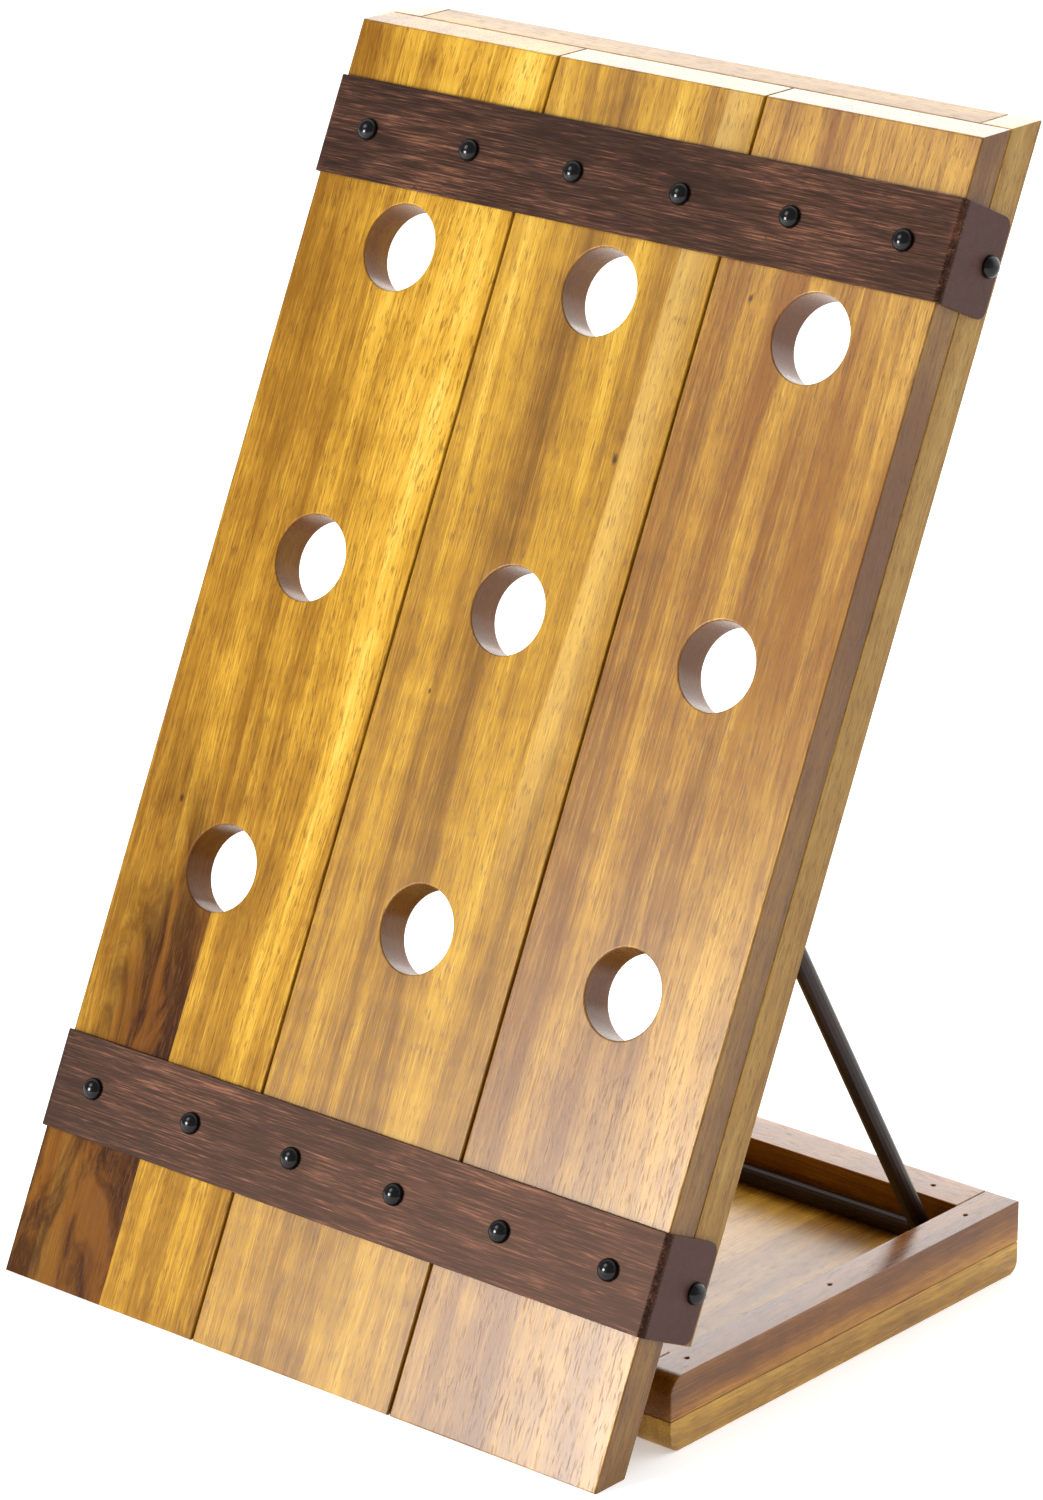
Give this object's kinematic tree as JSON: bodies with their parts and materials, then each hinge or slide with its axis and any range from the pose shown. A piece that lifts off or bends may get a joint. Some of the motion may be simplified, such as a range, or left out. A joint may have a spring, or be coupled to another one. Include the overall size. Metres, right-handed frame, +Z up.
{
  "type": "folding bottle display rack",
  "caption": "Table-top wooden bottle rack: a leaning board panel with neck holes, two riveted metal straps, a shallow tray behind and a swinging rod support.",
  "frame": {"origin": "on the surface the rack stands on, under the middle of its bounding box", "axes": "+X to the right seen from the front, +Y to the back, +Z up"},
  "size_m": [0.3684, 0.3028, 0.5438],
  "materials": {
    "panel_wood": "golden acacia, satin oil",
    "tray_wood": "acacia, satin oil",
    "strap_metal": "brushed antique bronze, worn",
    "rivet_metal": "gloss black",
    "rod_metal": "satin dark brown",
    "brad_steel": "dull steel",
    "hinge_brass": "antique brass"
  },
  "bodies": {
    "tray": {"hinge_left_pin": "hinge_brass", "hinge_left_tray_leaf": "hinge_brass", "hinge_right_pin": "hinge_brass", "hinge_right_tray_leaf": "hinge_brass", "hinge_tray_screw_1": "hinge_brass", "hinge_tray_screw_2": "hinge_brass", "hinge_tray_screw_3": "hinge_brass", "hinge_tray_screw_4": "hinge_brass", "tray_brad_1": "brad_steel", "tray_brad_2": "brad_steel", "tray_brad_3": "brad_steel", "tray_brad_4": "brad_steel", "tray_brad_5": "brad_steel", "tray_brad_6": "brad_steel", "tray_brad_7": "brad_steel", "tray_brad_8": "brad_steel", "tray_floor": "tray_wood", "tray_rail_back": "tray_wood", "tray_rail_front": "tray_wood", "tray_rail_left": "tray_wood", "tray_rail_right": "tray_wood"},
    "panel": {"face_board_left": "panel_wood", "face_board_middle": "panel_wood", "face_board_right": "panel_wood", "hinge_left_panel_leaf": "hinge_brass", "hinge_panel_screw_1": "hinge_brass", "hinge_panel_screw_2": "hinge_brass", "hinge_panel_screw_3": "hinge_brass", "hinge_panel_screw_4": "hinge_brass", "hinge_right_panel_leaf": "hinge_brass", "panel_rail_bottom": "panel_wood", "panel_rail_left": "panel_wood", "panel_rail_right": "panel_wood", "panel_rail_top": "panel_wood", "strap_lower": "strap_metal", "strap_lower_left_rivet": "rivet_metal", "strap_lower_right_rivet": "rivet_metal", "strap_lower_rivet_1": "rivet_metal", "strap_lower_rivet_2": "rivet_metal", "strap_lower_rivet_3": "rivet_metal", "strap_lower_rivet_4": "rivet_metal", "strap_lower_rivet_5": "rivet_metal", "strap_lower_rivet_6": "rivet_metal", "strap_upper": "strap_metal", "strap_upper_left_rivet": "rivet_metal", "strap_upper_right_rivet": "rivet_metal", "strap_upper_rivet_1": "rivet_metal", "strap_upper_rivet_2": "rivet_metal", "strap_upper_rivet_3": "rivet_metal", "strap_upper_rivet_4": "rivet_metal", "strap_upper_rivet_5": "rivet_metal", "strap_upper_rivet_6": "rivet_metal"},
    "bail": {"bail_arm_left": "rod_metal", "bail_arm_right": "rod_metal", "bail_cross_bar": "rod_metal"}
  },
  "joints": [
    {"name": "panel_tip", "type": "hinge", "parent": "tray", "child": "panel", "pos_m": [0, -0.09011, 0.0368], "axis": [1, 0, 0], "range_deg": [0, 8]},
    {"name": "bail_swing", "type": "hinge", "parent": "panel", "child": "bail", "pos_m": [0, -0.00783, 0.24045], "axis": [1, 0, 0], "range_deg": [0, 124.5]}
  ]
}
